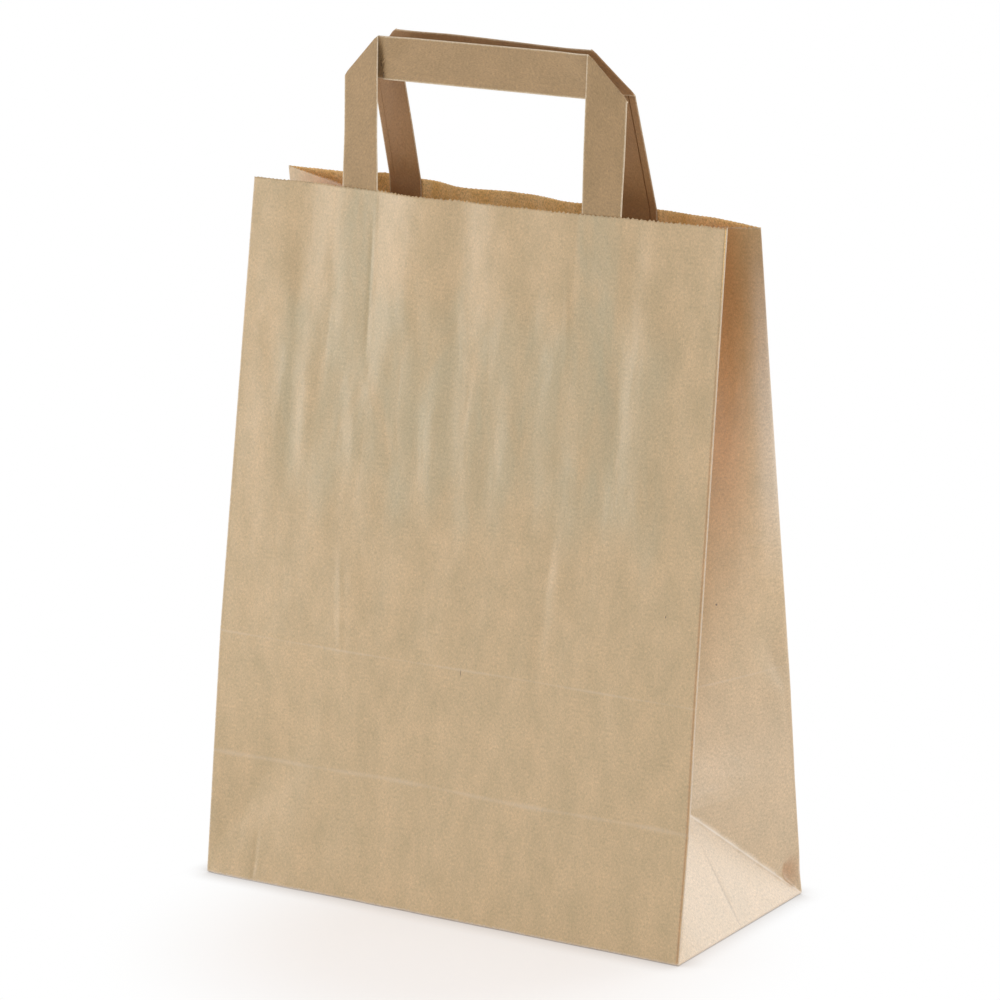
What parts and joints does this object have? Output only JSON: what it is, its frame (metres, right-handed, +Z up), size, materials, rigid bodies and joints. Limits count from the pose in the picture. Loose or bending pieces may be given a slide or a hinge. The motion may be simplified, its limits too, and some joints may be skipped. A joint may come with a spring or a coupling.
{
  "type": "paper carrier bag",
  "caption": "Upright kraft paper carrier bag with a block bottom, side gussets folded inwards, a nearly closed mouth and flat folded strip handles glued inside its panels.",
  "frame": {"origin": "middle of the base, on the surface that the bag stands on", "axes": "+Z up, +X across the front panel to the right of someone facing it, the front panel faces -Y"},
  "size_m": [0.26, 0.1202, 0.4053],
  "materials": {
    "kraft_sheet": "matte ribbed brown kraft",
    "kraft_strip": "matte brown kraft, folded in plies",
    "kraft_patch": "matte brown kraft"
  },
  "bodies": {
    "root": {"bag_body": "kraft_sheet", "front_handle": "kraft_strip", "back_handle": "kraft_strip", "front_handle_patch": "kraft_patch", "back_handle_patch": "kraft_patch"}
  },
  "joints": []
}
